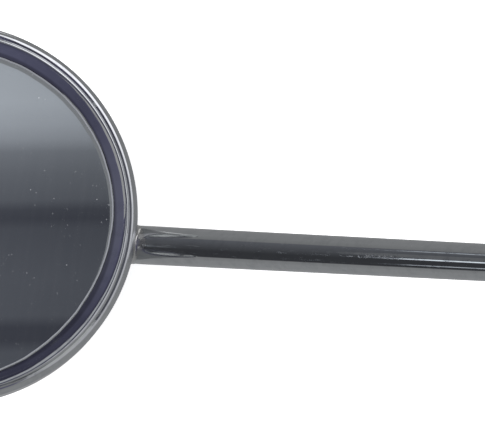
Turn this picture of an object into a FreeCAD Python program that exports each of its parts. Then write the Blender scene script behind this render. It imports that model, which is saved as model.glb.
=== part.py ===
import FreeCAD, Part
import math
import os

# A dental mouth mirror: a round glass mirror in a polished steel cup, on a straight stem
# that screws into a hollow octagonal handle.
#
# Lengths are in millimetres and angles in degrees. +X runs along the stem and the handle,
# from the mirror to the tail, +Y runs across the mirror and +Z is up. The instrument lies
# on one flat of its handle, and the origin is on that surface, at the middle of the
# instrument's length and width.

# ---- driving dimensions -------------------------------------------------------------

# Mirror head. Depths are measured back from its rim plane, radii from its own axis.
HEAD_RADIUS = 11.0
HEAD_DEPTH = 2.9
FACE_ANGLE = 45.0          # between the mirror's face and the stem
RIM_ROUNDING = 0.45        # outer front edge of the cup
BACK_ROUNDING = 0.7        # outer back edge of the cup
CUP_BORE = 10.5            # inner radius of the cup's wall
CUP_LAND = 10.62           # radius where the cup's front edge falls into the seam
CUP_FLOOR = 0.5            # thickness of the cup's back
SEAM_DEPTH = 0.08          # groove between the cup's edge and the bezel

LIP_RADIUS = 9.52          # opening that shows the glass
LIP_ROUNDING = 0.14        # bezel's inner edge
LIP_SLOPE = 25.0           # of the conical lip, from the glass up to the crest
BEZEL_CREST = 10.33        # radius of the bezel's highest line
CREST_ROUNDING = 0.6       # inner side of the crest
CREST_EDGE = 0.2           # rounding of the crest's outer side
CREST_FALL = 45.0          # slope of the bezel from its crest into the seam
BEZEL_SKIRT = 0.4          # thickness of the bezel's wall beside the glass
BEZEL_DEPTH = 1.3

GLASS_RADIUS = 9.95
GLASS_THICKNESS = 1.3
GLASS_BEVEL = 0.12
SILVER_THICKNESS = 0.04
LACQUER_THICKNESS = 0.08
COATING_MARGIN = 0.1       # the coatings stop this far inside the glass's back edge
BACKING_MARGIN = 0.05
SEAL_TOP = 0.55            # depths between which the sealing bead fills the gap
SEAL_BOTTOM = 1.9

# Stem, and the brazed joint that carries the head. Distances along the stem and the handle
# start where their common axis meets the cup's wall.
STEM_RADIUS = 1.04
STEM_FOOT_RADIUS = 1.13    # at the head, from where the stem tapers
STEM_LENGTH = 34.0         # from the cup's wall to the collar
JOINT_DEPTH = 2.0          # the axis meets the cup's wall this far behind the rim plane
BRAZE_LAYER = 0.1          # braze metal between the stem's foot and the cup's wall
BRAZE_RADIUS = 0.3         # concave fillet of braze metal round the joint

# Screw thread M2.5 x 0.45 on the stem's end. Distances start at the seat plane, which is
# the handle nose's front face.
THREAD_PITCH = 0.45
THREAD_FLANK = 30.0        # between a flank and the plane across the thread
THREAD_RADIUS = 1.25
THREAD_ROOT = 0.974
THREAD_CREST_WIDTH = THREAD_PITCH / 8
THREAD_TURNS = 12
THREAD_END = 8.2           # end of the stem
THREAD_CLEARANCE = 0.045   # between the stem's thread and the bush's thread
BUSH_THREAD_BORE = 1.03

# Collar on the stem: a slender outer taper, then the short cone that centres the stem.
COLLAR_LENGTH = 5.0
COLLAR_FRONT_WALL = 0.16
COLLAR_CLEARANCE = 0.02
SEAT_GAP = 0.04            # running gap between the collar and the nose
SOCKET_MOUTH = 1.78        # radius of the nose's conical socket at the seat plane
SOCKET_END = 1.46
SOCKET_DEPTH = 2.1

# Nose of the handle, and the threaded bush pressed into it.
NOSE_FRONT_RADIUS = 2.12
NOSE_LENGTH = 12.0
NOSE_RADIUS = 2.95
NOSE_BAND = 2.2            # plain band next to the tube
NOSE_GROOVE = 0.7          # width and depth of the turned groove in front of that band
NOSE_GROOVE_DEPTH = 0.3
NOSE_SPIGOT = 9.0          # length pressed into the tube
BUSH_RADIUS = 1.75
BUSH_START = 2.4           # from the seat plane
BUSH_LENGTH = 7.0
EDGE_BREAK = 0.12          # small chamfer on turned edges

# Octagonal handle tube.
ACROSS_FLATS = 6.0
TUBE_LENGTH = 98.0
TUBE_BORE = 2.2
TUBE_END_BEVEL = 30.0      # slope of the turned bevel on the tube's corners
GROOVE_PITCH = 1.4
GROOVE_WIDTH = 0.75
GROOVE_FLOOR = 0.03        # the grooves stop this far outside the flats
GRIP_START = 6.0           # first groove of each grip, from its own end of the tube
FRONT_GROOVES = 25
TAIL_GROOVES = 5

# Tail cap.
CAP_RADIUS = 2.95
CAP_FLANGE = 1.2
CAP_NECK_RADIUS = 2.4
CAP_NECK = 2.0
CAP_KNOB = 4.2
CAP_ROUNDING = 1.1
CAP_SPIGOT = 8.0

# ---- places worked out from the dimensions ------------------------------------------

FACE_SINE = math.sin(math.radians(FACE_ANGLE))
FACE_COSINE = math.cos(math.radians(FACE_ANGLE))
FLOOR_DEPTH = HEAD_DEPTH - CUP_FLOOR
# The lip runs at its slope from the crest's rounding down to the rounding of its own edge,
# and the glass lies against the edge.
LIP_SINE = math.sin(math.radians(LIP_SLOPE))
LIP_COSINE = math.cos(math.radians(LIP_SLOPE))
LIP_TOP = (BEZEL_CREST - CREST_ROUNDING * LIP_SINE, CREST_ROUNDING * (LIP_COSINE - 1))
LIP_FOOT_RADIUS = LIP_RADIUS + LIP_ROUNDING * (1 - LIP_SINE)
LIP_FOOT = (
    LIP_FOOT_RADIUS,
    LIP_TOP[1] - (LIP_TOP[0] - LIP_FOOT_RADIUS) * LIP_SINE / LIP_COSINE,
)
GLASS_DEPTH = LIP_ROUNDING * LIP_COSINE - LIP_FOOT[1]
AXIS_HEIGHT = ACROSS_FLATS / 2
CORNER_RADIUS = AXIS_HEIGHT / math.cos(math.radians(22.5))

SEAT_PLANE = STEM_LENGTH + COLLAR_LENGTH + SEAT_GAP
TUBE_START = SEAT_PLANE + NOSE_LENGTH
TUBE_END = TUBE_START + TUBE_LENGTH
TAIL_END = TUBE_END + CAP_FLANGE + CAP_NECK + CAP_KNOB

# The head's centre, in the rim plane, lies behind and above the start of the stem's axis.
HEAD_ALONG = JOINT_DEPTH * FACE_SINE - HEAD_RADIUS * FACE_COSINE
HEAD_ABOVE = JOINT_DEPTH * FACE_COSINE + HEAD_RADIUS * FACE_SINE
# The cup's rounded back edge is the instrument's far end.
HEAD_REACH = (
    (HEAD_RADIUS - BACK_ROUNDING) * FACE_COSINE
    + (HEAD_DEPTH - BACK_ROUNDING) * FACE_SINE
    + BACK_ROUNDING
)
JOINT_X = (HEAD_REACH - HEAD_ALONG - TAIL_END) / 2

Y_AXIS = FreeCAD.Vector(0, 1, 0)
Z_AXIS = FreeCAD.Vector(0, 0, 1)
HEAD_PLACE = FreeCAD.Placement(
    FreeCAD.Vector(JOINT_X + HEAD_ALONG, 0, AXIS_HEIGHT + HEAD_ABOVE),
    FreeCAD.Rotation(Y_AXIS, FACE_ANGLE),
)


# ---- helpers ------------------------------------------------------------------------


def on_circle(centre, radius, angle):
    """The point at an angle on a circle in the half plane of radius and height."""
    turn = math.radians(angle)
    return (centre[0] + radius * math.cos(turn), centre[1] + radius * math.sin(turn))


def arc(centre, radius, start, end):
    """An arc's middle and end points, as the outline of a turned solid takes them."""
    middle = on_circle(centre, radius, (start + end) / 2)
    return middle, on_circle(centre, radius, end)


def turned(*outline):
    """A solid of revolution about Z. The outline is closed and made of (radius, height)
    points. A pair of points stands for an arc through the first to the second."""

    def in_space(point):
        return FreeCAD.Vector(point[0], 0, point[1])

    here = outline[0]
    edges = []
    for step in outline[1:] + outline[:1]:
        if isinstance(step[0], tuple):
            middle, end = step
            curve = Part.Arc(in_space(here), in_space(middle), in_space(end))
            edges.append(curve.toShape())
        else:
            end = step
            edges.append(Part.makeLine(in_space(here), in_space(end)))
        here = end
    section = Part.Face(Part.Wire(edges))
    return section.revolve(FreeCAD.Vector(), Z_AXIS, 360)


def cylinder(radius, start, end):
    return Part.makeCylinder(radius, end - start, FreeCAD.Vector(0, 0, start))


def on_head(shape):
    """Places a shape made about the head's own axis, with the rim plane at height 0."""
    placed = shape.copy()
    placed.Placement = HEAD_PLACE
    return placed


def on_axis(shape, distance):
    """Places a shape made about Z so that Z runs along the stem and the handle."""
    placed = shape.copy()
    placed.Placement = FreeCAD.Placement(
        FreeCAD.Vector(JOINT_X + distance, 0, AXIS_HEIGHT), FreeCAD.Rotation(Y_AXIS, 90)
    )
    return placed


def thread_ridge(root, crest, crest_width, start, turns):
    """A right-hand screw ridge about Z. Ridges whose starts are whole pitches apart are in
    mesh with each other."""
    half_crest = crest_width / 2
    half_root = half_crest + (crest - root) * math.tan(math.radians(THREAD_FLANK))
    corners = [
        FreeCAD.Vector(root, 0, start - half_root),
        FreeCAD.Vector(crest, 0, start - half_crest),
        FreeCAD.Vector(crest, 0, start + half_crest),
        FreeCAD.Vector(root, 0, start + half_root),
    ]
    section = Part.makePolygon(corners + corners[:1])
    path = Part.makeLongHelix(THREAD_PITCH, turns * THREAD_PITCH, root)
    path.translate(FreeCAD.Vector(0, 0, start))
    return Part.Wire(path.Edges).makePipeShell([section], True, True)


# ---- mirror head --------------------------------------------------------------------


def cup_outside():
    """Outline of the cup's outer side, from its land in front to the middle of its back."""
    front_centre = (HEAD_RADIUS - RIM_ROUNDING, -RIM_ROUNDING)
    land_angle = math.degrees(math.acos((CUP_LAND - front_centre[0]) / RIM_ROUNDING))
    back_centre = (HEAD_RADIUS - BACK_ROUNDING, BACK_ROUNDING - HEAD_DEPTH)
    return (
        on_circle(front_centre, RIM_ROUNDING, land_angle),
        arc(front_centre, RIM_ROUNDING, land_angle, 0),
        (HEAD_RADIUS, back_centre[1]),
        arc(back_centre, BACK_ROUNDING, 0, -90),
        (0, -HEAD_DEPTH),
    )


def head_cup():
    """Pressed steel cup. Its floor is the back of the mirror, its wall holds the stem."""
    inner_rounding = BACK_ROUNDING - CUP_FLOOR
    inner_centre = (CUP_BORE - inner_rounding, inner_rounding - FLOOR_DEPTH)
    return turned(
        *cup_outside(),
        (0, -FLOOR_DEPTH),
        (inner_centre[0], -FLOOR_DEPTH),
        arc(inner_centre, inner_rounding, -90, 0),
        (CUP_BORE, -SEAM_DEPTH),
    )


def filled_cup():
    """The cup's outer shape without its hollow, in its place."""
    outside = cup_outside()
    return on_head(turned(*outside, (0, outside[0][1])))


def bezel_ring():
    """Ring pressed into the cup, with a conical lip over the glass's edge."""
    edge_centre = (LIP_RADIUS + LIP_ROUNDING, -GLASS_DEPTH)
    inner_centre = (BEZEL_CREST, -CREST_ROUNDING)
    outer_centre = (BEZEL_CREST, -CREST_EDGE)
    return turned(
        (LIP_RADIUS, -GLASS_DEPTH),
        arc(edge_centre, LIP_ROUNDING, 180, 90 + LIP_SLOPE),
        LIP_TOP,
        arc(inner_centre, CREST_ROUNDING, 90 + LIP_SLOPE, 90),
        arc(outer_centre, CREST_EDGE, 90, 90 - CREST_FALL),
        (CUP_BORE, -SEAM_DEPTH),
        (CUP_BORE, -BEZEL_DEPTH),
        (CUP_BORE - BEZEL_SKIRT, -BEZEL_DEPTH),
        (CUP_BORE - BEZEL_SKIRT, -GLASS_DEPTH),
    )


def mirror_glass():
    """Clear glass disc with a small bevel on both edges."""
    back = -GLASS_DEPTH - GLASS_THICKNESS
    return turned(
        (0, -GLASS_DEPTH),
        (GLASS_RADIUS - GLASS_BEVEL, -GLASS_DEPTH),
        (GLASS_RADIUS, -GLASS_DEPTH - GLASS_BEVEL),
        (GLASS_RADIUS, back + GLASS_BEVEL),
        (GLASS_RADIUS - GLASS_BEVEL, back),
        (0, back),
    )


def head_layers():
    """The layers behind the glass, from the front: silver, lacquer and a fibre disc."""
    coated = GLASS_RADIUS - GLASS_BEVEL - COATING_MARGIN
    silver_top = -GLASS_DEPTH - GLASS_THICKNESS
    lacquer_top = silver_top - SILVER_THICKNESS
    backing_top = lacquer_top - LACQUER_THICKNESS
    return {
        "silver_coating": cylinder(coated, lacquer_top, silver_top),
        "protective_lacquer": cylinder(coated, backing_top, lacquer_top),
        "backing_disc": cylinder(GLASS_RADIUS - BACKING_MARGIN, -FLOOR_DEPTH, backing_top),
    }


def edge_seal():
    """Bead that seals the glass's edge, beside the bezel's skirt and under it."""
    skirt = CUP_BORE - BEZEL_SKIRT
    return turned(
        (GLASS_RADIUS, -SEAL_TOP),
        (skirt, -SEAL_TOP),
        (skirt, -BEZEL_DEPTH),
        (CUP_BORE, -BEZEL_DEPTH),
        (CUP_BORE, -SEAL_BOTTOM),
        (GLASS_RADIUS, -SEAL_BOTTOM),
    )


# ---- stem and collar ----------------------------------------------------------------


def rod_against(wall):
    """The stem up to its thread, its foot fitted to a wall and flush with the head's back."""
    overrun = 2 * HEAD_DEPTH
    rod_end = SEAT_PLANE + SOCKET_DEPTH
    rod = turned(
        (0, -overrun),
        (STEM_FOOT_RADIUS, -overrun),
        (STEM_FOOT_RADIUS, 0),
        (STEM_RADIUS, STEM_LENGTH),
        (STEM_RADIUS, rod_end),
        (0, rod_end),
    )
    behind_head = cylinder(2 * HEAD_RADIUS, -3 * HEAD_DEPTH, -HEAD_DEPTH)
    pieces = on_axis(rod, 0).cut(wall).cut(on_head(behind_head)).Solids
    return max(pieces, key=lambda piece: piece.BoundBox.XMax)


def stem_rod():
    """The stem up to its thread, its foot a braze layer's thickness off the cup's wall."""
    return rod_against(on_head(cylinder(HEAD_RADIUS + BRAZE_LAYER, -HEAD_RADIUS, HEAD_RADIUS)))


def stem():
    """Slightly tapered round rod with an M2.5 thread on its end."""
    ridge = thread_ridge(
        THREAD_ROOT - THREAD_CLEARANCE,
        THREAD_RADIUS,
        THREAD_CREST_WIDTH,
        SOCKET_DEPTH + THREAD_PITCH / 2,
        THREAD_TURNS,
    )
    core = cylinder(THREAD_ROOT, SOCKET_DEPTH, THREAD_END)
    return stem_rod().fuse(on_axis(core.fuse(ridge), SEAT_PLANE))


def braze_joint():
    """Braze metal under the stem's foot and in the corner round it."""

    def in_corner(edge):
        middle = edge.valueAt((edge.FirstParameter + edge.LastParameter) / 2)
        depth = -HEAD_PLACE.inverse().multVec(middle).z
        on_wall = RIM_ROUNDING < depth < HEAD_DEPTH - BACK_ROUNDING
        return on_wall and edge.Curve.TypeId == "Part::GeomBSplineCurve"

    touching_rod = rod_against(filled_cup())
    joined = filled_cup().fuse(touching_rod)
    corner = [edge for edge in joined.Edges if in_corner(edge)]
    fillet = joined.makeFillet(BRAZE_RADIUS, corner).cut(joined)
    layer = touching_rod.cut(stem_rod())
    return fillet.fuse(layer)


def stem_collar():
    """Steel collar with a slender outer taper and a cone that seats in the nose."""
    bore = STEM_RADIUS + COLLAR_CLEARANCE
    cone_end = COLLAR_LENGTH + SOCKET_DEPTH
    return turned(
        (bore, 0),
        (bore + COLLAR_FRONT_WALL, 0),
        (NOSE_FRONT_RADIUS, COLLAR_LENGTH - EDGE_BREAK),
        (NOSE_FRONT_RADIUS - EDGE_BREAK, COLLAR_LENGTH),
        (SOCKET_MOUTH - SEAT_GAP, COLLAR_LENGTH),
        (SOCKET_END - SEAT_GAP, cone_end),
        (bore, cone_end),
    )


# ---- handle -------------------------------------------------------------------------


def handle_nose():
    """Tapered sleeve pressed into the tube, with a conical socket for the collar."""
    band_start = NOSE_LENGTH - NOSE_BAND
    groove_start = band_start - NOSE_GROOVE
    groove_radius = NOSE_RADIUS - NOSE_GROOVE_DEPTH
    spigot_end = NOSE_LENGTH + NOSE_SPIGOT
    return turned(
        (SOCKET_MOUTH, 0),
        (NOSE_FRONT_RADIUS - EDGE_BREAK, 0),
        (NOSE_FRONT_RADIUS, EDGE_BREAK),
        (NOSE_RADIUS, groove_start),
        (groove_radius, groove_start + EDGE_BREAK),
        (groove_radius, band_start - EDGE_BREAK),
        (NOSE_RADIUS, band_start),
        (NOSE_RADIUS, NOSE_LENGTH - EDGE_BREAK),
        (NOSE_RADIUS - EDGE_BREAK, NOSE_LENGTH),
        (TUBE_BORE, NOSE_LENGTH),
        (TUBE_BORE, spigot_end - EDGE_BREAK),
        (TUBE_BORE - EDGE_BREAK, spigot_end),
        (BUSH_RADIUS, spigot_end),
        (BUSH_RADIUS, BUSH_START),
        (SOCKET_END, BUSH_START),
        (SOCKET_END, SOCKET_DEPTH),
    )


def thread_bush():
    """Bush with the internal thread, pressed into the nose from behind."""
    blank = turned(
        (BUSH_THREAD_BORE, BUSH_START),
        (BUSH_RADIUS, BUSH_START),
        (BUSH_RADIUS, BUSH_START + BUSH_LENGTH),
        (BUSH_THREAD_BORE, BUSH_START + BUSH_LENGTH),
    )
    flank = math.radians(THREAD_FLANK)
    wider = THREAD_CLEARANCE * (1 / math.cos(flank) - math.tan(flank))
    groove = thread_ridge(
        BUSH_THREAD_BORE - THREAD_CLEARANCE / 4,
        THREAD_RADIUS + THREAD_CLEARANCE,
        THREAD_CREST_WIDTH + 2 * wider,
        SOCKET_DEPTH - THREAD_PITCH / 2,
        THREAD_TURNS + 2,
    )
    return blank.cut(groove)


def turned_groove(distance):
    """Cutter for one V groove round the handle, its middle at a distance along the tube."""
    half_width = GROOVE_WIDTH / 2
    outside = CORNER_RADIUS + EDGE_BREAK
    return turned(
        (AXIS_HEIGHT + GROOVE_FLOOR, distance),
        (outside, distance + half_width),
        (outside, distance - half_width),
    )


def handle_tube():
    """Octagonal tube. Its turned grooves and end bevels only touch the corners."""
    corners = [
        FreeCAD.Vector(*on_circle((0, 0), CORNER_RADIUS, 45 * number + 22.5), 0)
        for number in range(8)
    ]
    octagon = Part.Face(Part.makePolygon(corners + corners[:1]))
    bar = octagon.extrude(FreeCAD.Vector(0, 0, TUBE_LENGTH))
    end_radius = AXIS_HEIGHT - GROOVE_FLOOR
    wide_radius = 2 * CORNER_RADIUS
    bevel_length = (wide_radius - end_radius) * math.tan(math.radians(TUBE_END_BEVEL))
    beveled = turned(
        (TUBE_BORE, 0),
        (end_radius, 0),
        (wide_radius, bevel_length),
        (wide_radius, TUBE_LENGTH - bevel_length),
        (end_radius, TUBE_LENGTH),
        (TUBE_BORE, TUBE_LENGTH),
    )
    front_grip = [GRIP_START + number * GROOVE_PITCH for number in range(FRONT_GROOVES)]
    tail_grip = [
        TUBE_LENGTH - GRIP_START - number * GROOVE_PITCH for number in range(TAIL_GROOVES)
    ]
    grooves = Part.makeCompound([turned_groove(place) for place in front_grip + tail_grip])
    return bar.common(beveled).cut(grooves)


def tail_cap():
    """Turned cap with a waisted knob, pressed into the tube's back end."""
    neck_start = CAP_FLANGE
    knob_start = CAP_FLANGE + CAP_NECK
    knob_end = knob_start + CAP_KNOB
    end_centre = (CAP_RADIUS - CAP_ROUNDING, knob_end - CAP_ROUNDING)
    return turned(
        (0, -CAP_SPIGOT),
        (TUBE_BORE - EDGE_BREAK, -CAP_SPIGOT),
        (TUBE_BORE, EDGE_BREAK - CAP_SPIGOT),
        (TUBE_BORE, 0),
        (CAP_RADIUS - EDGE_BREAK, 0),
        (CAP_RADIUS, EDGE_BREAK),
        (CAP_RADIUS, neck_start - EDGE_BREAK),
        (CAP_NECK_RADIUS, neck_start + EDGE_BREAK),
        (CAP_NECK_RADIUS, knob_start - EDGE_BREAK),
        (CAP_RADIUS, knob_start + EDGE_BREAK),
        (CAP_RADIUS, end_centre[1]),
        arc(end_centre, CAP_ROUNDING, 0, 90),
        (0, knob_end),
    )


# ---- assembly -----------------------------------------------------------------------


def assembly():
    """Every separate piece in its place, by name."""
    pieces = {
        "head_cup": on_head(head_cup()),
        "bezel_ring": on_head(bezel_ring()),
        "mirror_glass": on_head(mirror_glass()),
        "edge_seal": on_head(edge_seal()),
        "braze_joint": braze_joint(),
        "stem": stem(),
        "stem_collar": on_axis(stem_collar(), STEM_LENGTH),
        "handle_nose": on_axis(handle_nose(), SEAT_PLANE),
        "thread_bush": on_axis(thread_bush(), SEAT_PLANE),
        "handle_tube": on_axis(handle_tube(), TUBE_START),
        "tail_cap": on_axis(tail_cap(), TUBE_END),
    }
    for name, layer in head_layers().items():
        pieces[name] = on_head(layer)
    return pieces


os.makedirs("parts", exist_ok=True)
for name, shape in assembly().items():
    shape.exportStep(f"parts/{name}.step")
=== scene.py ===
import math

import bmesh
import bpy
from mathutils import Euler, Matrix, Vector


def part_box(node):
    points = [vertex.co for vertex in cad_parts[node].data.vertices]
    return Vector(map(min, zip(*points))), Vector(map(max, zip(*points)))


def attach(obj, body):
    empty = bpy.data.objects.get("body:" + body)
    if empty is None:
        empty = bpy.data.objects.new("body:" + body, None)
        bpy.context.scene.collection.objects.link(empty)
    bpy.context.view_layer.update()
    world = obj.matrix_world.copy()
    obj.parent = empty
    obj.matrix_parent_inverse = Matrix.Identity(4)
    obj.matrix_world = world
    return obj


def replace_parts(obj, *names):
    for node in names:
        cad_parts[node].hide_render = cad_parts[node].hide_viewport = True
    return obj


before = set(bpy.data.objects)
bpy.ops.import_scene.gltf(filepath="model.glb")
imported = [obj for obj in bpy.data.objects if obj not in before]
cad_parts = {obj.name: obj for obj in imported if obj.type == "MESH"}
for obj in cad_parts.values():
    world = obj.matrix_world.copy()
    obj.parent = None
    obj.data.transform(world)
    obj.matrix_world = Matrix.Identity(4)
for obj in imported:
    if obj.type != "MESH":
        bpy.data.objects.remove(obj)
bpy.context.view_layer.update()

# The looks of a polished steel mouth mirror. Everything is in metres in the CAD frame: +X
# runs from the mirror to the handle's tail, +Y across the mirror and +Z up.

MM = 0.001
scene = bpy.context.scene

# ---- the mirror's head, read from the frame ----------------------------------------------


def facing(node):
    """The middle of a flat disc node, and the direction that its upper face looks in."""
    low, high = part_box(node)
    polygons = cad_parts[node].data.polygons
    upward = [polygon for polygon in polygons if polygon.normal.z > 0]
    face = max(upward, key=lambda polygon: polygon.area)
    return (low + high) / 2, face.normal.normalized()


GLASS_CENTRE, FACE_NORMAL = facing("mirror_glass")
ACROSS = Vector((0, 1, 0))
TOWARD_STEM = ACROSS.cross(FACE_NORMAL).normalized()
# Columns: along the face toward the stem, across it, and out of it.
HEAD_AXES = Matrix((TOWARD_STEM, ACROSS, FACE_NORMAL)).transposed()

# Section of the head in millimetres: radius from its axis, height above its rim plane.
HEAD_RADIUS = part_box("head_cup")[1].y / MM
HEAD_DEPTH = 2.9
RIM_ROUNDING = 0.45
BACK_ROUNDING = 0.7
CUP_BORE = 10.5
CUP_LAND = 10.62
CUP_FLOOR = 0.5
SEAM_DEPTH = 0.08
LIP_RADIUS = 9.52
LIP_ROUNDING = 0.14
LIP_SLOPE = 25.0
BEZEL_CREST = 10.33
CREST_ROUNDING = 0.6
CREST_EDGE = 0.2
CREST_FALL = 45.0
BEZEL_SKIRT = 0.4
BEZEL_DEPTH = 1.3
GLASS_RADIUS = 9.95
GLASS_THICKNESS = 1.3
GLASS_BEVEL = 0.12
COATING_MARGIN = 0.1
SILVER_THICKNESS = 0.04
JOINT_DEPTH = 2.0


def on_circle(centre, radius, angle):
    turn = math.radians(angle)
    return (centre[0] + radius * math.cos(turn), centre[1] + radius * math.sin(turn))


def arc(centre, radius, start, end, count):
    """Points of an arc in the head's section, both ends included."""
    return [
        on_circle(centre, radius, start + (end - start) * step / count)
        for step in range(count + 1)
    ]


LIP_SINE = math.sin(math.radians(LIP_SLOPE))
LIP_COSINE = math.cos(math.radians(LIP_SLOPE))
LIP_TOP = (BEZEL_CREST - CREST_ROUNDING * LIP_SINE, CREST_ROUNDING * (LIP_COSINE - 1))
LIP_FOOT_RADIUS = LIP_RADIUS + LIP_ROUNDING * (1 - LIP_SINE)
LIP_FOOT_HEIGHT = LIP_TOP[1] - (LIP_TOP[0] - LIP_FOOT_RADIUS) * LIP_SINE / LIP_COSINE
GLASS_DEPTH = LIP_ROUNDING * LIP_COSINE - LIP_FOOT_HEIGHT

RIM_LIFT = (GLASS_DEPTH + GLASS_THICKNESS / 2) * MM
HEAD_CENTRE = GLASS_CENTRE + FACE_NORMAL * RIM_LIFT
HEAD_PLACE = Matrix.Translation(HEAD_CENTRE) @ HEAD_AXES.to_4x4()

# ---- camera -----------------------------------------------------------------------------

CAMERA_DISTANCE = 500 * MM
HEAD_IN_VIEW = Vector((-16.96, 0.4, 0)) * MM  # the head's centre, right and up of the axis
VIEW_WIDTH = 27.91 * MM  # width of the view at the head's distance
HEAD_TURN = Euler([math.radians(angle) for angle in (-6.65, 4.13, -8.92)], "XYZ")


def make_camera():
    """Camera that looks almost straight into the mirror, with the head turned a little."""
    turn = HEAD_TURN.to_matrix()
    camera_axes = HEAD_AXES @ turn.transposed()
    place = HEAD_CENTRE - camera_axes @ (HEAD_IN_VIEW - Vector((0, 0, CAMERA_DISTANCE)))
    lens = bpy.data.cameras.new("camera")
    lens.sensor_width = 36.0
    lens.lens = lens.sensor_width * CAMERA_DISTANCE / VIEW_WIDTH
    lens.clip_start = 0.01
    lens.clip_end = 20.0
    camera = bpy.data.objects.new("camera", lens)
    camera.matrix_world = Matrix.Translation(place) @ camera_axes.to_4x4()
    scene.collection.objects.link(camera)
    scene.camera = camera


make_camera()

# ---- node helpers -----------------------------------------------------------------------


class Nodes:
    """Adds shader nodes to one tree. An input is given a plain value or another output."""

    def __init__(self, tree):
        self.tree = tree

    def add(self, kind, inputs=None, **settings):
        node = self.tree.nodes.new("ShaderNode" + kind)
        for name, setting in settings.items():
            setattr(node, name, setting)
        for name, source in (inputs or {}).items():
            self.feed(source, node.inputs[name])
        return node

    def feed(self, source, socket):
        if isinstance(source, bpy.types.NodeSocket):
            self.tree.links.new(source, socket)
        else:
            socket.default_value = source

    def math(self, operation, first, second=0.0):
        return self.add("Math", {0: first, 1: second}, operation=operation).outputs[0]

    def noise(self, place, scale, detail=2.0, roughness=0.5):
        """Noise at a scale in features per unit of the place."""
        inputs = {"Vector": place, "Scale": scale, "Detail": detail, "Roughness": roughness}
        return self.add("TexNoise", inputs).outputs["Fac"]

    def spread(self, source, low, high, out_low, out_high):
        """Stretches the range low..high of a source to a new range, and clips it there."""
        names = ("Value", "From Min", "From Max", "To Min", "To Max")
        inputs = dict(zip(names, (source, low, high, out_low, out_high)))
        return self.add("MapRange", inputs).outputs["Result"]

    def change(self, source, reach, before, after):
        """Goes from one amount to another over a reach in millimetres."""
        return self.spread(source, reach[0] * MM, reach[1] * MM, before, after)

    def scaled(self, color, amount):
        """A colour made lighter or darker."""
        inputs = {0: color, "Scale": amount}
        return self.add("VectorMath", inputs, operation="SCALE").outputs["Vector"]

    def window(self, source, low, high, edge):
        """One between low and high, and zero outside them, with soft edges."""
        rise = self.spread(source, low, low + edge, 0.0, 1.0)
        fall = self.spread(source, high - edge, high, 1.0, 0.0)
        return self.math("MULTIPLY", rise, fall)

    def blend(self, amount, first, second):
        """Colour between two colours by an amount from 0 to 1."""
        mix = self.add("Mix", data_type="RGBA")
        self.feed(amount, mix.inputs["Factor"])
        self.feed(first, mix.inputs["A"])
        self.feed(second, mix.inputs["B"])
        return mix.outputs["Result"]

    def stretched(self, place, scales):
        inputs = {"Vector": place, "Scale": scales}
        return self.add("Mapping", inputs, vector_type="POINT").outputs["Vector"]

    def bump(self, height, strength, depth, under=None):
        """Normal of a bumpy skin, on top of another bumpy skin if one is given."""
        inputs = {"Height": height, "Strength": strength, "Distance": depth}
        if under:
            inputs["Normal"] = under
        return self.add("Bump", inputs).outputs["Normal"]


def new_material(name, metallic, roughness):
    """A material with a principled shader, and the helper that adds nodes to it."""
    material = bpy.data.materials.new(name)
    material.use_nodes = True
    shader = material.node_tree.nodes["Principled BSDF"]
    shader.inputs["Metallic"].default_value = metallic
    shader.inputs["Roughness"].default_value = roughness
    return material, Nodes(material.node_tree), shader.inputs


def object_place(nodes):
    return nodes.add("TexCoord").outputs["Object"]


def polar_place(nodes, place, along, across, up):
    """Coordinates round an axis through the place's origin: angle, radius and height."""
    parts = nodes.add("SeparateXYZ", {"Vector": place}).outputs
    angle = nodes.math("ARCTAN2", parts[across], parts[along])
    flat = nodes.add("CombineXYZ", {"X": parts[along], "Y": parts[across]}).outputs["Vector"]
    radius = nodes.add("VectorMath", {0: flat}, operation="LENGTH").outputs["Value"]
    inputs = {"X": angle, "Y": radius, "Z": parts[up]}
    return nodes.add("CombineXYZ", inputs).outputs["Vector"]


def moved_place(nodes, centre, turn):
    """The object's coordinates, seen from a centre and turned."""
    inputs = {"Vector": object_place(nodes), "Location": centre, "Rotation": turn}
    return nodes.add("Mapping", inputs, vector_type="TEXTURE").outputs["Vector"]


def head_place(nodes):
    """Angle, radius and height about the head's axis."""
    place = moved_place(nodes, HEAD_CENTRE, HEAD_AXES.to_euler("XYZ"))
    return polar_place(nodes, place, "X", "Y", "Z")


def axis_place(nodes):
    """Angle, radius and distance along the stem and handle's axis."""
    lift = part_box("handle_tube")[1].z / 2
    place = moved_place(nodes, (0, 0, lift), (0, 0, 0))
    return polar_place(nodes, place, "Z", "Y", "X")


# ---- materials --------------------------------------------------------------------------

STEEL = (0.56, 0.57, 0.58, 1)
STEEL_DULL = (0.48, 0.49, 0.505, 1)

# Where the polished steel changes. Each pair is where a change starts and ends, in millimetres.
UNPOLISHED_REACH = (3, 5)                            # from the stem's joint
OUTER_WALL = (HEAD_RADIUS - 0.3, HEAD_RADIUS - 0.1)  # radius where the wall begins
# inside this radius the steel's colour is darkened with painted shade, at the lip's foot by the
# glass
LIP_SHADE = (LIP_RADIUS + 0.16, LIP_RADIUS + 0.28)   # radius where the lip's foot ends
HAZY_ROOT = (4, 6)                                   # along the stem from its root
DENTS = (18.4, 21.4)                                 # along the stem from its root
DENTS_EDGE = 0.6
DENT_DEPTH = 0.025
DENT_TURN = (-0.24, -0.02)                           # radians from the top, toward +Y
DENT_TURN_EDGE = 0.05


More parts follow.
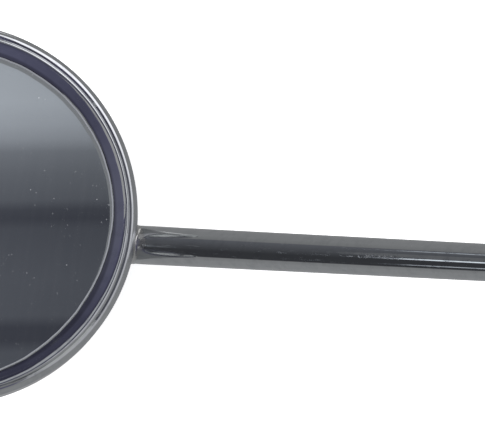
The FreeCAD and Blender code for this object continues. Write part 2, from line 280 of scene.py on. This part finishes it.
def hand_polish(nodes, surface, place, lines, waviness, gloss):
    """Shared finish of the polished parts: clouds of duller metal, short scratches, the
    given machining lines, and the soft waviness that hand polishing leaves. The gloss is the
    roughness of the brightest metal."""
    clouds = nodes.noise(place, 1400.0, 4.0, 0.65)
    scratches = nodes.noise(nodes.stretched(place, (1500.0, 15000.0, 1500.0)), 1.0, 2.0, 0.7)
    waves = nodes.noise(place, 550.0, 1.0)
    tone = nodes.spread(clouds, 0.45, 0.8, 0.0, 1.0)
    nodes.feed(nodes.blend(tone, STEEL, STEEL_DULL), surface["Base Color"])
    nodes.feed(nodes.spread(clouds, 0.5, 0.75, gloss, 6 * gloss), surface["Roughness"])
    fine = nodes.math("ADD", lines, nodes.math("MULTIPLY", scratches, 0.5))
    wavy = nodes.bump(waves, 1.0, waviness)
    nodes.feed(nodes.bump(fine, 0.3, 0.001 * MM, wavy), surface["Normal"])


def at_least(nodes, socket, amount):
    """Raises a linked socket to another amount wherever that is more."""
    nodes.feed(nodes.math("MAXIMUM", socket.links[0].from_socket, amount), socket)


def unpolished_wall(nodes, radius):
    """Roughness that rises on the head's wall round the stem's joint."""
    joint = tuple(HEAD_PLACE @ (Vector((HEAD_RADIUS, 0, -JOINT_DEPTH)) * MM))
    reach = nodes.add("VectorMath", {0: object_place(nodes), 1: joint}, operation="DISTANCE")
    near = nodes.change(reach.outputs["Value"], UNPOLISHED_REACH, 0.5, 0.0)
    return nodes.math("MULTIPLY", near, nodes.change(radius, OUTER_WALL, 0.0, 1.0))


def polished_rim():
    """Polished steel with fine lines and a few duller streaks round the head. Its wall is duller
    round the stem's joint, where the polishing wheel doesn't reach, and painted shade darkens
    the steel at the foot of the lip."""
    material, nodes, surface = new_material("polished_rim", 1.0, 0.08)
    lines = nodes.noise(nodes.stretched(head_place(nodes), (5.0, 22000.0, 22000.0)), 1.0, 3.0)
    hand_polish(nodes, surface, object_place(nodes), lines, 0.015 * MM, 0.04)
    radius = nodes.add("SeparateXYZ", {"Vector": head_place(nodes)}).outputs["Y"]
    at_least(nodes, surface["Roughness"], unpolished_wall(nodes, radius))
    streaks = nodes.noise(nodes.stretched(head_place(nodes), (4.0, 9000.0, 9000.0)), 1.0, 2.0, 0.6)
    at_least(nodes, surface["Roughness"], nodes.spread(streaks, 0.52, 0.72, 0.0, 0.2))
    # painted shade: the steel's colour drops to 0.6 at the foot of the lip, in the corner by the
    # glass where shade falls
    painted_lip_shade = nodes.change(radius, LIP_SHADE, 0.6, 1.0)
    steel = surface["Base Color"].links[0].from_socket
    nodes.feed(nodes.scaled(steel, painted_lip_shade), surface["Base Color"])
    return material


def tool_dents(nodes, along):
    """Height of a short row of tiny dents, from the distance along the stem."""
    cells = nodes.add("TexVoronoi", {"Vector": object_place(nodes), "Scale": 9000.0})
    turn = nodes.add("SeparateXYZ", {"Vector": axis_place(nodes)}).outputs["X"]
    lengthwise = nodes.window(along, DENTS[0] * MM, DENTS[1] * MM, DENTS_EDGE * MM)
    sideways = nodes.window(turn, DENT_TURN[0], DENT_TURN[1], DENT_TURN_EDGE)
    hollows = nodes.spread(cells.outputs["Distance"], 0.1, 0.5, -1.0, 0.0)
    return nodes.math("MULTIPLY", hollows, nodes.math("MULTIPLY", lengthwise, sideways))


def polished_stem():
    """Drawn and polished rod with faint lines and short dull marks along it, and a short
    row of tiny dents from a tool near its top."""
    material, nodes, surface = new_material("polished_stem", 1.0, 0.08)
    lines = nodes.noise(nodes.stretched(axis_place(nodes), (9.0, 0.0, 150.0)), 1.0, 4.0)
    hand_polish(nodes, surface, object_place(nodes), lines, 0.002 * MM, 0.02)
    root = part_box("stem")[0].x
    x = nodes.add("SeparateXYZ", {"Vector": object_place(nodes)}).outputs["X"]
    along = nodes.math("SUBTRACT", x, root)
    at_least(nodes, surface["Roughness"], nodes.change(along, HAZY_ROOT, 0.12, 0.0))
    marks = nodes.noise(nodes.stretched(axis_place(nodes), (6.0, 0.0, 700.0)), 1.0, 3.0, 0.65)
    at_least(nodes, surface["Roughness"], nodes.spread(marks, 0.56, 0.7, 0.0, 0.24))
    skin = surface["Normal"].links[0].from_socket
    dents = tool_dents(nodes, along)
    nodes.feed(nodes.bump(dents, 1.0, DENT_DEPTH * MM, skin), surface["Normal"])
    return material


def turned_steel():
    """Lathe-turned steel: fine turning lines round the axis, softly polished."""
    material, nodes, surface = new_material("turned_steel", 1.0, 0.16)
    around = axis_place(nodes)
    lines = nodes.noise(nodes.stretched(around, (0.6, 9000.0, 24000.0)), 1.0, 3.0)
    haze = nodes.noise(object_place(nodes), 700.0, 3.0)
    tone = nodes.spread(haze, 0.4, 0.7, 0.0, 1.0)
    nodes.feed(nodes.blend(tone, STEEL, STEEL_DULL), surface["Base Color"])
    nodes.feed(nodes.spread(lines, 0.3, 0.7, 0.11, 0.22), surface["Roughness"])
    nodes.feed(nodes.bump(lines, 0.35, 0.001 * MM), surface["Normal"])
    return material


def handle_steel():
    """Satin steel of the handle: lengthwise grain, with handling marks here and there."""
    material, nodes, surface = new_material("handle_steel", 1.0, 0.25)
    place = object_place(nodes)
    grain = nodes.noise(nodes.stretched(place, (300.0, 16000.0, 16000.0)), 1.0, 3.0)
    marks = nodes.noise(place, 350.0, 4.0, 0.6)
    tone = nodes.spread(marks, 0.45, 0.7, 0.0, 1.0)
    nodes.feed(nodes.blend(tone, STEEL, STEEL_DULL), surface["Base Color"])
    nodes.feed(nodes.spread(marks, 0.4, 0.7, 0.14, 0.2), surface["Roughness"])
    nodes.feed(nodes.bump(grain, 0.4, 0.002 * MM), surface["Normal"])
    return material


def machined_bush():
    material, nodes, surface = new_material("machined_bush", 1.0, 0.3)
    lines = nodes.noise(nodes.stretched(axis_place(nodes), (0.8, 0.0, 18000.0)), 1.0)
    nodes.feed(nodes.blend(lines, STEEL, STEEL_DULL), surface["Base Color"])
    nodes.feed(nodes.spread(lines, 0.3, 0.7, 0.22, 0.4), surface["Roughness"])
    return material


def braze_metal():
    """Silver braze, polished with the steel: a little warmer, with a lumpy skin."""
    material, nodes, surface = new_material("braze_metal", 1.0, 0.15)
    lumps = nodes.noise(object_place(nodes), 3000.0, 2.0)
    warm, cool = (0.6, 0.59, 0.57, 1), (0.5, 0.5, 0.5, 1)
    nodes.feed(nodes.blend(lumps, warm, cool), surface["Base Color"])
    nodes.feed(nodes.spread(lumps, 0.3, 0.7, 0.2, 0.32), surface["Roughness"])
    nodes.feed(nodes.bump(lumps, 0.3, 0.02 * MM), surface["Normal"])
    return material


def clear_glass():
    """Clear glass with a faint wiped veil and a few specks of dust on its face."""
    material, nodes, surface = new_material("clear_glass", 0.0, 0.0)
    surface["IOR"].default_value = 1.52
    surface["Base Color"].default_value = (0.97, 0.98, 1, 1)
    place = object_place(nodes)
    cells = nodes.add("TexVoronoi", {"Vector": place, "Scale": 2300.0}).outputs["Distance"]
    patches = nodes.noise(place, 260.0, 2.0)
    speck = nodes.spread(cells, 0.03, 0.1, 1.0, 0.0)
    dust = nodes.math("MULTIPLY", speck, nodes.spread(patches, 0.4, 0.6, 0.0, 0.3))
    wiping = nodes.noise(nodes.stretched(place, (2400.0, 160.0, 2400.0)), 1.0, 3.0, 0.6)
    veil = nodes.spread(wiping, 0.45, 0.8, 0.0, 0.006)
    cloudy = nodes.math("ADD", dust, veil)
    nodes.feed(nodes.math("SUBTRACT", 1.0, cloudy), surface["Transmission Weight"])
    return material


def silver_film():
    material, nodes, surface = new_material("silver_film", 1.0, 0.003)
    clouds = nodes.noise(object_place(nodes), 150.0, 3.0)
    bright, faded = (0.94, 0.945, 0.94, 1), (0.9, 0.91, 0.905, 1)
    nodes.feed(nodes.blend(clouds, bright, faded), surface["Base Color"])
    return material


def cloudy_coat(name, light, dark, scale, roughness):
    """Paint, resin or fibre: two close tones in a cloudy mix, with a slightly uneven skin."""
    material, nodes, surface = new_material(name, 0.0, roughness)
    clouds = nodes.noise(object_place(nodes), scale, 4.0)
    nodes.feed(nodes.blend(clouds, light, dark), surface["Base Color"])
    nodes.feed(nodes.spread(clouds, 0.3, 0.7, roughness, roughness + 0.15), surface["Roughness"])
    nodes.feed(nodes.bump(clouds, 0.2, 0.01 * MM), surface["Normal"])
    return material


def sealing_film_painted_glow():
    """Resin between the bezel and the glass, with a faint painted glow that stands in for a little
    light passing on from the glass.
    """
    material = cloudy_coat("sealing_film_painted_glow", (0.13, 0.13, 0.15, 1), (0.06, 0.06, 0.08, 1), 4000, 0.3)
    surface = material.node_tree.nodes["Principled BSDF"].inputs
    # painted light: the resin is made to glow faintly, though it is no lamp
    surface["Emission Color"].default_value = (0.92, 0.96, 1, 1)
    surface["Emission Strength"].default_value = 0.2
    return material


def dress(obj, material):
    obj.data.materials.clear()
    obj.data.materials.append(material)


RIM_STEEL = polished_rim()
STEM_STEEL = polished_stem()
TURNED_STEEL = turned_steel()
BRAZE_METAL = braze_metal()
CLEAR_GLASS = clear_glass()
SILVER_FILM = silver_film()
LACQUER_LOOK = cloudy_coat("back_lacquer", (0.2, 0.22, 0.25, 1), (0.14, 0.15, 0.18, 1), 400, 0.25)
FIBRE_LOOK = cloudy_coat("fibre_disc", (0.55, 0.5, 0.42, 1), (0.42, 0.37, 0.3, 1), 2500, 0.7)
SEAL_LOOK = cloudy_coat("seal_resin", (0.5, 0.5, 0.53, 1), (0.34, 0.34, 0.38, 1), 1500, 0.3)

NODE_LOOKS = {
    "head_cup": RIM_STEEL,
    "bezel_ring": RIM_STEEL,
    "mirror_glass": CLEAR_GLASS,
    "silver_coating": SILVER_FILM,
    "protective_lacquer": LACQUER_LOOK,
    "backing_disc": FIBRE_LOOK,
    "edge_seal": SEAL_LOOK,
    "stem": STEM_STEEL,
    "braze_joint": BRAZE_METAL,
    "stem_collar": TURNED_STEEL,
    "handle_nose": TURNED_STEEL,
    "thread_bush": machined_bush(),
    "handle_tube": handle_steel(),
    "tail_cap": TURNED_STEEL,
}
for node_name, look in NODE_LOOKS.items():
    dress(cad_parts[node_name], look)

# ---- pieces made here -------------------------------------------------------------------

AROUND = 480  # steps round the head
SHARP = math.radians(28)

# The bezel is crimped by hand: its opening is slightly lobed, and its edge a little ragged.
# Each wave is its count round the head, its size in millimetres and where it is highest.
LIP_WAVES = ((3, 0.12, 40.0), (4, 0.055, 2.0))
RAGGED_WAVES = ((17, 0.006, 10.0), (29, 0.005, 70.0), (43, 0.004, 130.0), (71, 0.003, 200.0))
CUP_WAVES = ((5, 0.004, 20.0), (9, 0.003, 50.0), (14, 0.003, 100.0))


def wavy(waves, angle):
    return sum(size * math.cos(count * (angle - math.radians(at))) for count, size, at in waves)


def between(stops, value):
    """Straight-line interpolation in a short list of (place, amount) stops."""
    if value <= stops[0][0]:
        return stops[0][1]
    for (start, low), (end, high) in zip(stops, stops[1:]):
        if value <= end:
            return low + (high - low) * (value - start) / (end - start)
    return stops[-1][1]


def add_piece(name, points, faces, material):
    """A mesh piece of the mirror. Its points are in millimetres about the head's axis."""
    mesh = bpy.data.meshes.new(name)
    mesh.from_pydata([HEAD_PLACE @ (Vector(point) * MM) for point in points], [], faces)
    shape = bmesh.new()
    shape.from_mesh(mesh)
    bmesh.ops.remove_doubles(shape, verts=shape.verts, dist=1e-4 * MM)
    bmesh.ops.recalc_face_normals(shape, faces=shape.faces)
    shape.to_mesh(mesh)
    shape.free()
    mesh.polygons.foreach_set("use_smooth", [True] * len(mesh.polygons))
    mesh.set_sharp_from_angle(angle=SHARP)
    piece = bpy.data.objects.new(name, mesh)
    scene.collection.objects.link(piece)
    dress(piece, material)
    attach(piece, "mirror")
    return piece


def loop_faces(rows, width):
    """Quads of a closed net of points: rows of equal width, joined both ways."""
    faces = []
    for row in range(rows):
        here, there = row * width, (row + 1) % rows * width
        for number in range(width):
            after = (number + 1) % width
            faces.append((here + number, here + after, there + after, there + number))
    return faces


def ring(name, outline, waves, looseness, material):
    """Turned ring from a closed outline. Its waves act in full where looseness is one."""
    points = []
    for step in range(AROUND):
        angle = 2 * math.pi * step / AROUND
        shift = wavy(waves, angle)
        for radius, height in outline:
            moved = radius + shift * between(looseness, radius)
            points.append((moved * math.cos(angle), moved * math.sin(angle), height))
    return add_piece(name, points, loop_faces(AROUND, len(outline)), material)


def cup_outline():
    front = (HEAD_RADIUS - RIM_ROUNDING, -RIM_ROUNDING)
    land = math.degrees(math.acos((CUP_LAND - front[0]) / RIM_ROUNDING))
    back = (HEAD_RADIUS - BACK_ROUNDING, BACK_ROUNDING - HEAD_DEPTH)
    inner_rounding = BACK_ROUNDING - CUP_FLOOR
    floor = CUP_FLOOR - HEAD_DEPTH
    inner = (CUP_BORE - inner_rounding, floor + inner_rounding)
    return (
        [(CUP_BORE, -SEAM_DEPTH)]
        + arc(front, RIM_ROUNDING, land, 0, 24)
        + arc(back, BACK_ROUNDING, 0, -90, 16)
        + [(0, -HEAD_DEPTH), (0, floor)]
        + arc(inner, inner_rounding, -90, 0, 6)
    )


FILM = 0.004  # thickness of a film that parts two touching faces
SEAL_BEAD = 0.06  # sealing film squeezed out in the corner between lip and glass
SEAL_RISE = 30.0  # degrees of the lip's rounding that it covers


def bezel_outline():
    """Section of the bezel. Its first side is the squeezed-out film, its last the underside."""
    edge = (LIP_RADIUS + LIP_ROUNDING, -GLASS_DEPTH)
    underside = FILM - GLASS_DEPTH
    inner = (BEZEL_CREST, -CREST_ROUNDING)
    outer = (BEZEL_CREST, -CREST_EDGE)
    skirt = CUP_BORE - BEZEL_SKIRT
    return (
        [(LIP_RADIUS - SEAL_BEAD, underside)]
        + arc(edge, LIP_ROUNDING, 180 - SEAL_RISE, 90 + LIP_SLOPE, 8)
        + arc(inner, CREST_ROUNDING, 90 + LIP_SLOPE, 90, 10)
        + arc(outer, CREST_EDGE, 90, 90 - CREST_FALL, 8)[1:]
        + [(CUP_BORE, -SEAM_DEPTH), (CUP_BORE, -BEZEL_DEPTH)]
        + [(skirt, -BEZEL_DEPTH), (skirt, underside)]
    )


def show_sealing_film(bezel, sides):
    """Gives the film's material to the first and the last side of the bezel's section."""
    bezel.data.materials.append(sealing_film_painted_glow())
    for polygon in bezel.data.polygons:
        if polygon.index % sides in (0, sides - 1):
            polygon.material_index = 1


def disc(name, outline, material):
    """Turned disc from the outline of its edge, front to back. Each flat side is one face,
    which keeps it truly flat for the reflections."""
    points = []
    for radius, height in outline:
        for step in range(AROUND):
            angle = 2 * math.pi * step / AROUND
            points.append((radius * math.cos(angle), radius * math.sin(angle), height))
    faces = [tuple(range(AROUND)), tuple(reversed(range(len(points) - AROUND, len(points))))]
    for level in range(len(outline) - 1):
        upper, lower = level * AROUND, (level + 1) * AROUND
        for step in range(AROUND):
            after = (step + 1) % AROUND
            faces.append((upper + step, lower + step, lower + after, upper + after))
    return add_piece(name, points, faces, material)


def glass_outline():
    front, back = -GLASS_DEPTH, -(GLASS_DEPTH + GLASS_THICKNESS)
    flat = GLASS_RADIUS - GLASS_BEVEL
    return [
        (flat, front), (GLASS_RADIUS, front - GLASS_BEVEL),
        (GLASS_RADIUS, back + GLASS_BEVEL), (flat, back),
    ]


def silver_outline():
    """The silver sits a film's thickness inside the glass, so that no two faces coincide."""
    top = FILM - (GLASS_DEPTH + GLASS_THICKNESS)
    radius = GLASS_RADIUS - GLASS_BEVEL - COATING_MARGIN
    return [(radius, top), (radius, top - SILVER_THICKNESS)]


CUP_LOOSENESS = [(CUP_BORE - 0.1, 1), (CUP_BORE + 0.4, 0)]
cup = ring("rim_cup", cup_outline(), CUP_WAVES, CUP_LOOSENESS, RIM_STEEL)
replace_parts(cup, "head_cup")

LIP_LOOSENESS = [(LIP_RADIUS + LIP_ROUNDING, 1), (BEZEL_CREST, 0.5), (CUP_BORE, 0)]
lip_waves = LIP_WAVES + RAGGED_WAVES
lip_section = bezel_outline()
bezel = ring("lip_bezel", lip_section, lip_waves, LIP_LOOSENESS, RIM_STEEL)
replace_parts(bezel, "bezel_ring")
show_sealing_film(bezel, len(lip_section))

glass = disc("glass_disc", glass_outline(), CLEAR_GLASS)
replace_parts(glass, "mirror_glass")

silver = disc("silver_layer", silver_outline(), SILVER_FILM)
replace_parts(silver, "silver_coating")

# The stem meets the cup's wall at an angle; braze metal fills the corner round it.
STEM_FOOT_RADIUS = 1.13
BRAZE_RADIUS = 0.3
BRAZE_ON_WALL = 0.28       # the braze spreads no further than this over the wall
BRAZE_WAVES = ((2, 0.08, 30.0), (3, 0.1, 100.0), (7, 0.06, 0.0))
JOINT = Vector((HEAD_RADIUS, 0, -JOINT_DEPTH))
STEM_WAY = Vector((1, 0, 1)).normalized()
STEM_SIDE = Vector((0, 1, 0))
STEM_FRONT = Vector((-1, 0, 1)).normalized()
BEAD_SINK = 0.01           # the bead's edge lies this far under the stem's skin
BEAD_STEPS = 120
BEAD_CURVE = 10


def off_wall(point):
    """Distance of a point from the cup's outer surface, in millimetres."""
    rounding = RIM_ROUNDING if point.z > -HEAD_DEPTH / 2 else BACK_ROUNDING
    sideways = math.hypot(point.x, point.y) - (HEAD_RADIUS - rounding)
    upright = abs(point.z + HEAD_DEPTH / 2) - (HEAD_DEPTH / 2 - rounding)
    corner = math.hypot(max(sideways, 0), max(upright, 0))
    return corner + min(max(sideways, upright), 0) - rounding


def onto_wall(point):
    """The point moved straight onto the cup's outer surface."""
    step = 1e-4
    ways = [Vector((step, 0, 0)), Vector((0, step, 0)), Vector((0, 0, step))]
    for _ in range(3):
        distance = off_wall(point)
        slope = Vector([(off_wall(point + way) - distance) / step for way in ways])
        point = point - slope * distance
    return point


def bead_section(turn):
    """Section of the braze at one turn round the stem: a concave curve, and the corner."""
    outward = STEM_FRONT * math.cos(turn) + STEM_SIDE * math.sin(turn)
    on_rod = JOINT + outward * STEM_FOOT_RADIUS
    reach = math.sqrt(HEAD_RADIUS**2 - on_rod.y**2)
    corner = on_rod + STEM_WAY * ((reach - on_rod.x) / STEM_WAY.x)
    wall_way = Vector((corner.x, corner.y, 0)).normalized()
    spread = (outward - wall_way * outward.dot(wall_way)).normalized()
    opening = math.acos(max(-1, min(1, STEM_WAY.dot(spread))))
    leg = BRAZE_RADIUS / math.tan(opening / 2) * (1 + wavy(BRAZE_WAVES, turn))
    start = corner + STEM_WAY * leg - outward * BEAD_SINK
    end = onto_wall(corner + spread * min(leg, BRAZE_ON_WALL))
    curve = []
    for step in range(BEAD_CURVE + 1):
        share = step / BEAD_CURVE
        curve.append(
            start * (1 - share) ** 2 + corner * (2 * share * (1 - share)) + end * share**2
        )
    return curve + [corner - STEM_WAY * 0.05]


def braze_bead():
    points = []
    for step in range(BEAD_STEPS):
        points += bead_section(2 * math.pi * step / BEAD_STEPS)
    faces = loop_faces(BEAD_STEPS, BEAD_CURVE + 2)
    return add_piece("braze_bead", points, faces, BRAZE_METAL)


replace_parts(braze_bead(), "braze_joint")

# ---- studio -----------------------------------------------------------------------------

scene.view_settings.view_transform = "Standard"
WHITE = (1, 1, 1, 1)


def direction(azimuth, elevation):
    """Unit vector at an azimuth from +X toward +Y and an elevation above the floor."""
    turn, lift = math.radians(azimuth), math.radians(elevation)
    return Vector((math.cos(lift) * math.cos(turn), math.cos(lift) * math.sin(turn), math.sin(lift)))


def bare_material(name):
    material = bpy.data.materials.new(name)
    material.use_nodes = True
    material.node_tree.nodes.clear()
    return material, Nodes(material.node_tree)


def glowing(name, color, strength):
    material, nodes = bare_material(name)
    glow = nodes.add("Emission", {"Color": color, "Strength": strength})
    nodes.add("OutputMaterial", {"Surface": glow.outputs["Emission"]})
    return material


BLUE_HAZE = (0.0, 0.0, 0.01)  # a trace of blue in every band, however dark


def banded(name, axis, stops, tint, sideways=0.0):
    """Glowing card material with bands along one of the card's own axes. Stops are places
    in metres and brightnesses. Sideways is the share of light lost per metre across."""
    material, nodes = bare_material(name)
    parts = nodes.add("SeparateXYZ", {"Vector": object_place(nodes)}).outputs
    start, end = stops[0][0], stops[-1][0]
    ramp = nodes.add("ValToRGB", {"Fac": nodes.spread(parts[axis], start, end, 0.0, 1.0)})
    elements = ramp.color_ramp.elements
    while len(elements) < len(stops):
        elements.new(0.5)
    for element, (place, brightness) in zip(elements, stops):
        element.position = (place - start) / (end - start)
        element.color = [brightness * share + haze for share, haze in zip(tint, BLUE_HAZE)] + [1]
    across = "Y" if axis == "X" else "X"
    strength = nodes.math("SUBTRACT", 1.0, nodes.math("MULTIPLY", parts[across], sideways))
    glow = nodes.add("Emission", {"Color": ramp.outputs["Color"], "Strength": strength})
    nodes.add("OutputMaterial", {"Surface": glow.outputs["Emission"]})
    return material


def quad(name, width, height, material):
    """Flat stage sheet in its own XY plane."""
    x, y = width / 2, height / 2
    mesh = bpy.data.meshes.new(name)
    mesh.from_pydata([(-x, -y, 0), (x, -y, 0), (x, y, 0), (-x, y, 0)], [], [(0, 1, 2, 3)])
    sheet = bpy.data.objects.new(name, mesh)
    dress(sheet, material)
    scene.collection.objects.link(sheet)
    return sheet


def reflect_only(sheet):
    sheet.visible_camera = False
    sheet.visible_shadow = False
    sheet.visible_diffuse = False


def card(name, azimuth, elevation, width, height, material, distance=1.0, roll=0.0):
    """Glowing card that faces the head from a direction. Only reflections show it. Its own
    X axis runs toward a growing azimuth and its Y axis toward a growing elevation, both
    turned by the roll in degrees."""
    sheet = quad(name, width, height, material)
    toward = direction(azimuth, elevation)
    right = Vector((0, 0, 1)).cross(toward).normalized()
    axes = Matrix((right, toward.cross(right), toward)).transposed().to_4x4()
    turn = Matrix.Rotation(math.radians(roll), 4, "Z")
    sheet.matrix_world = Matrix.Translation(HEAD_CENTRE + toward * distance) @ axes @ turn
    reflect_only(sheet)


FLOOR_GLOW = 0.85


def floor_paint():
    """White floor that glows as well, so that shadows on it stay pale."""
    material, nodes = bare_material("floor_white")
    matte = nodes.add("BsdfDiffuse", {"Color": (0.8, 0.8, 0.8, 1)})
    glow = nodes.add("Emission", {"Color": WHITE, "Strength": FLOOR_GLOW})
    both = nodes.add("AddShader", {0: matte.outputs["BSDF"], 1: glow.outputs["Emission"]})
    nodes.add("OutputMaterial", {"Surface": both.outputs["Shader"]})
    return material


LAMP_WIDTH = 2.5
LAMP_POWER = 50
LAMP_PLACE = (0.2, 0, 1.6)


def overhead_light():
    """Wide soft light for the floor and the matt parts. Reflections don't show it."""
    lamp = bpy.data.lights.new("overhead", "AREA")
    lamp.shape = "SQUARE"
    lamp.size = LAMP_WIDTH
    lamp.energy = LAMP_POWER
    light = bpy.data.objects.new("overhead", lamp)
    light.location = LAMP_PLACE
    light.visible_glossy = False
    light.visible_transmission = False
    scene.collection.objects.link(light)


FLOOR_SIZE = 8.8
floor = quad("floor", FLOOR_SIZE, FLOOR_SIZE, floor_paint())
floor.visible_glossy = False
floor.visible_transmission = False
overhead_light()


def backdrop():
    """White sheets that stand round the edge of the floor, seen by the camera only."""
    paint = glowing("backdrop_white", WHITE, 1.0)
    upright = Euler((math.radians(90), 0, math.radians(90)), "XYZ").to_matrix().to_4x4()
    for number in range(4):
        sheet = quad(f"backdrop_{number}", FLOOR_SIZE, FLOOR_SIZE / 2, paint)
        turn = Matrix.Rotation(math.radians(90 * number), 4, "Z")
        edge = Matrix.Translation((FLOOR_SIZE / 2, 0, FLOOR_SIZE / 4))
        sheet.matrix_world = turn @ edge @ upright
        for ray in ("glossy", "diffuse", "transmission", "shadow", "volume_scatter"):
            setattr(sheet, "visible_" + ray, False)


backdrop()

# Each card is given by its azimuth and elevation in degrees, and its width and height in
# metres. What the mirror itself shows: a dim ceiling with a pale wall to one side.
MIRROR_VIEW = [
    (-0.03, 0.085), (-0.0228, 0.08), (-0.0208, 0.05), (-0.0185, 0.05), (-0.0165, 0.084),
    (-0.01, 0.086), (-0.0015, 0.072), (0.0002, 0.053), (0.0018, 0.06), (0.0035, 0.1), (0.008, 0.128),
    (0.0105, 0.155), (0.0118, 0.17), (0.014, 0.265), (0.0165, 0.33), (0.0205, 0.385), (0.032, 0.355),
]
COOL = (0.96, 1.03, 1.1)
CEILING_LOOK = banded("mirror_bands", "X", MIRROR_VIEW, COOL, -7.0)
card("mirror_view", 8.6, 42.0, 0.12, 0.2, CEILING_LOOK, roll=3.7)
card("second_mirror_view", 56.5, 40.0, 0.12, 0.12, CEILING_LOOK)

# A wide bright window low in front, brightest on its +Y side, and dimmer light above it.
WINDOW = [(-0.75, 0.5), (-0.2, 0.75), (0.2, 1.7), (0.75, 1.7)]
card("window", 18, 15, 1.5, 0.6, banded("window_light", "X", WINDOW, (1, 1, 1.04)))
UPPER_LIGHT = glowing("upper_light", (0.97, 0.99, 1.04, 1), 0.55)
card("upper_glow", 25, 46, 0.42, 0.37, UPPER_LIGHT, distance=1.1)

# Pale screens at both sides, and a dark flag in front of one of them.
SCREEN = glowing("screen", (0.97, 1, 1, 1), 0.6)
card("left_screen", 111, 41, 0.56, 0.54, SCREEN)
card("right_screen", -114, 42, 0.4, 0.6, SCREEN)
FLAG = glowing("flag", (0.85, 0.86, 1.2, 1), 0.09)
card("dark_flag", -92, 20, 0.7, 0.85, FLAG, distance=0.95)

# Softboxes beside and behind the instrument, for its other sides.
SOFTBOX = glowing("softbox", WHITE, 1.2)
card("left_softbox", 103, 0, 0.6, 0.6, SOFTBOX)
card("back_softbox", 180, 12, 0.5, 0.25, SOFTBOX)

# Strip light right over the handle, for its upper facets.
STRIP_PLACE = (0.06, -0.03, 0.3)
strip = quad("handle_strip", 0.16, 0.1, glowing("strip_light", WHITE, 0.5))
strip.matrix_world = Matrix.Translation(STRIP_PLACE)
reflect_only(strip)

# Narrow tubes overhead that draw thin bright lines along the stem's far part.
TUBE = [(-0.035, 0.1), (-0.029, 1.2), (0.035, 1.2)]
card("tube_light", -164.6, 52.0, 0.1, 0.07, banded("tube", "Y", TUBE, COOL), roll=-22)
LOW_TUBE = [(-0.04, 0.1), (-0.033, 0.6), (0.04, 0.6)]
LOW_TUBE_LOOK = banded("low_tube", "X", LOW_TUBE, COOL)
card("low_tube_light", -134.2, 32.6, 0.08, 0.07, LOW_TUBE_LOOK, roll=28)
SIDE_TUBE = [(-0.045, 0.7), (0.0, 0.5), (0.045, 0.15)]
SIDE_TUBE_LOOK = banded("side_tube", "X", SIDE_TUBE, COOL)
card("side_tube_light", 141.5, 40.3, 0.09, 0.055, SIDE_TUBE_LOOK, roll=46)
FAR_LIGHT = glowing("far_light", (0.96, 1, 1.06, 1), 0.18)
card("far_glow", 172, 53.3, 0.3, 0.09, FAR_LIGHT, roll=10)


VIOLET = (0.85, 0.86, 1.35, 1)
BLUISH = (0.9, 0.94, 1.05, 1)
GROUND_TINT = (0.99, 1.01, 1.03)
TILTED_UP = (0, -0.163, 1)  # heights round the object are measured along this
UPPER_EDGE = (0.43, 0.47)   # height at which the room takes over from the surfaces


def room_light(nodes, parts):
    """Dim room, a little lighter on two opposite sides and overhead, and violet in front."""
    corners = nodes.math("MULTIPLY", parts["X"], parts["Y"])
    sides = nodes.spread(corners, -0.35, 0.2, 0.17, 0.06)
    overhead = nodes.spread(parts["Z"], 0.88, 1.0, 0.0, 0.08)
    level = nodes.math("ADD", sides, overhead)
    tint = nodes.blend(nodes.spread(parts["X"], -0.3, 0.1, 0.0, 1.0), BLUISH, VIOLET)
    return nodes.scaled(tint, level)


def surface_light(nodes, parts, height):
    """Pale surfaces, a little brighter low down and on the -Y side."""
    level = nodes.spread(height, 0.1, 0.44, 0.355, 0.3)
    shaded = nodes.math("MULTIPLY", level, nodes.spread(parts["Y"], -0.3, 0.3, 1.0, 0.86))
    return nodes.scaled(GROUND_TINT, shaded)


def studio_world():
    """Pale surfaces all round below and a dim room above them, as reflections see them."""
    world = bpy.data.worlds.new("studio")
    scene.world = world
    world.use_nodes = True
    nodes = Nodes(world.node_tree)
    toward = nodes.add("TexCoord").outputs["Generated"]
    parts = nodes.add("SeparateXYZ", {"Vector": toward}).outputs
    lift = nodes.add("VectorMath", {0: toward, 1: TILTED_UP}, operation="DOT_PRODUCT")
    height = lift.outputs["Value"]
    above = nodes.spread(height, UPPER_EDGE[0], UPPER_EDGE[1], 0.0, 1.0)
    below_color = surface_light(nodes, parts, height)
    color = nodes.blend(above, below_color, room_light(nodes, parts))
    nodes.feed(color, world.node_tree.nodes["Background"].inputs["Color"])


studio_world()
